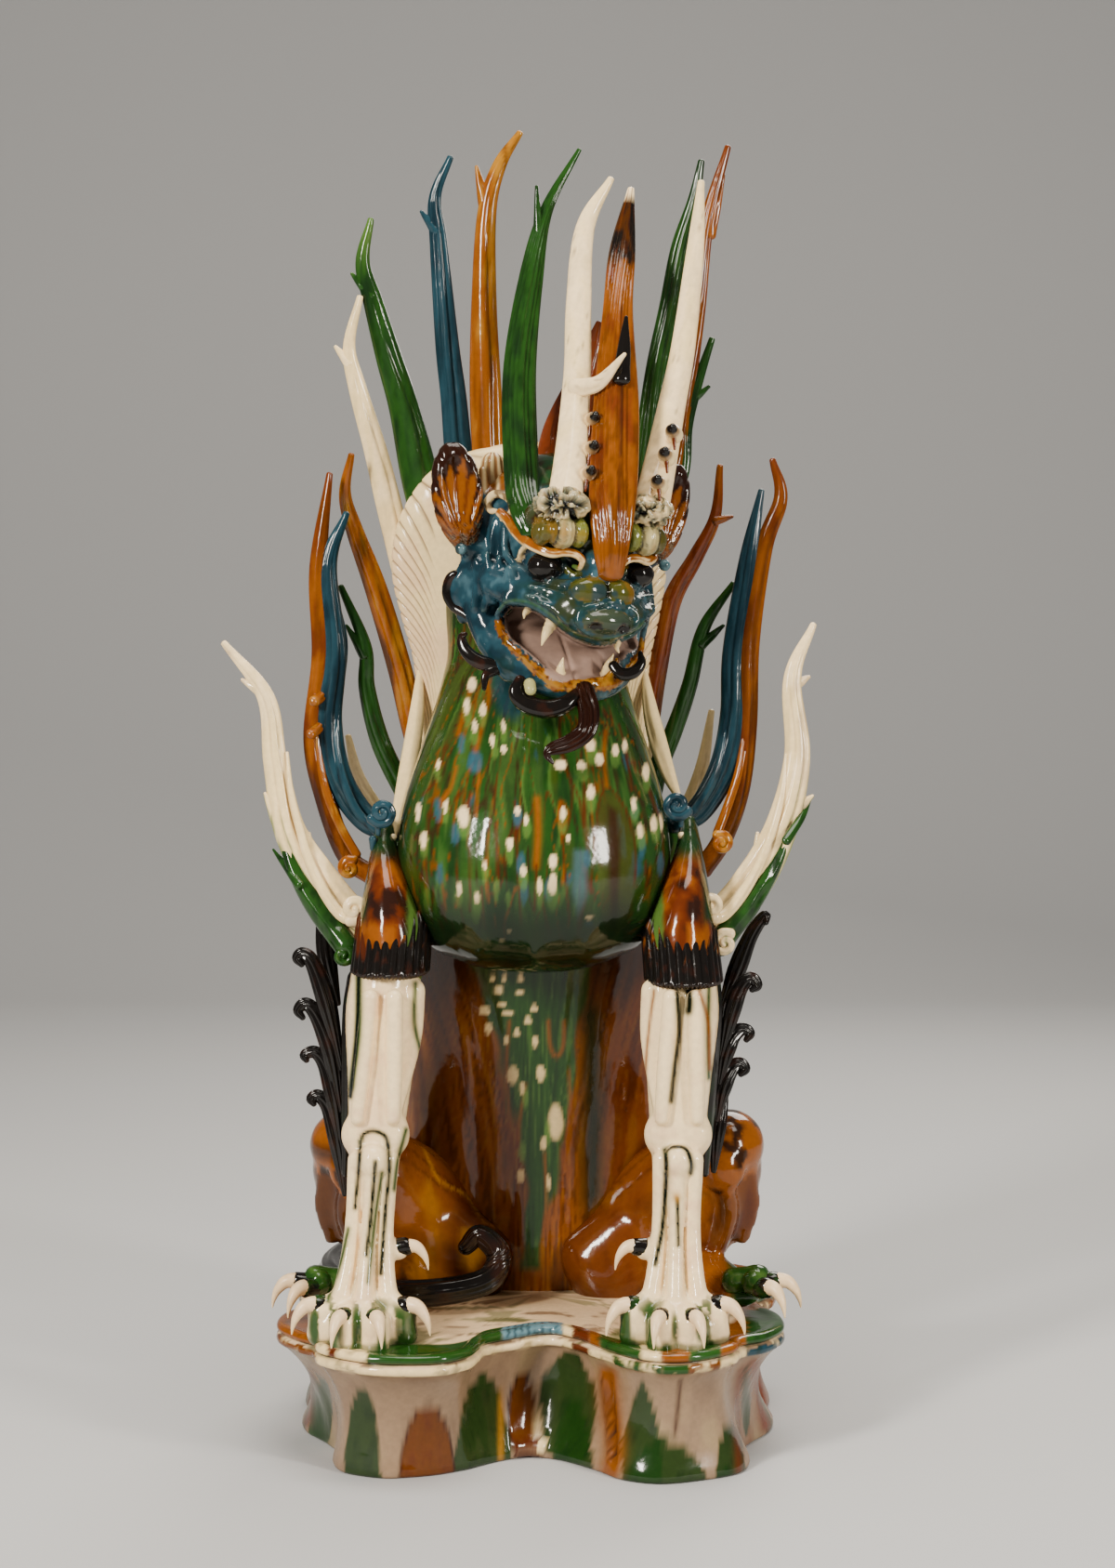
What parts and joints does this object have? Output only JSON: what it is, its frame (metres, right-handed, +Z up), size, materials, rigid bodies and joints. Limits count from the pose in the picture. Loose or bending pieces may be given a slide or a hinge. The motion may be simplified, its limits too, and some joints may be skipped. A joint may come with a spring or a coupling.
{
  "type": "tomb guardian beast",
  "caption": "Seated horned guardian beast of glazed earthenware, ringed with tall flames, made in one with its lobed plinth; it stands on the plinth's underside.",
  "frame": {"origin": "centre of the plinth's flat underside, where it rests", "axes": "+Z up, -Y the way the beast's chest faces, +X to the viewer's right when facing the chest"},
  "size_m": [0.4257, 0.3597, 0.9238],
  "materials": {
    "glazed_earthenware": "gloss lead glaze in green, amber, cream, blue and brown-black, run and mottled"
  },
  "bodies": {
    "root": {"tomb_guardian_beast": "glazed_earthenware"}
  },
  "joints": []
}
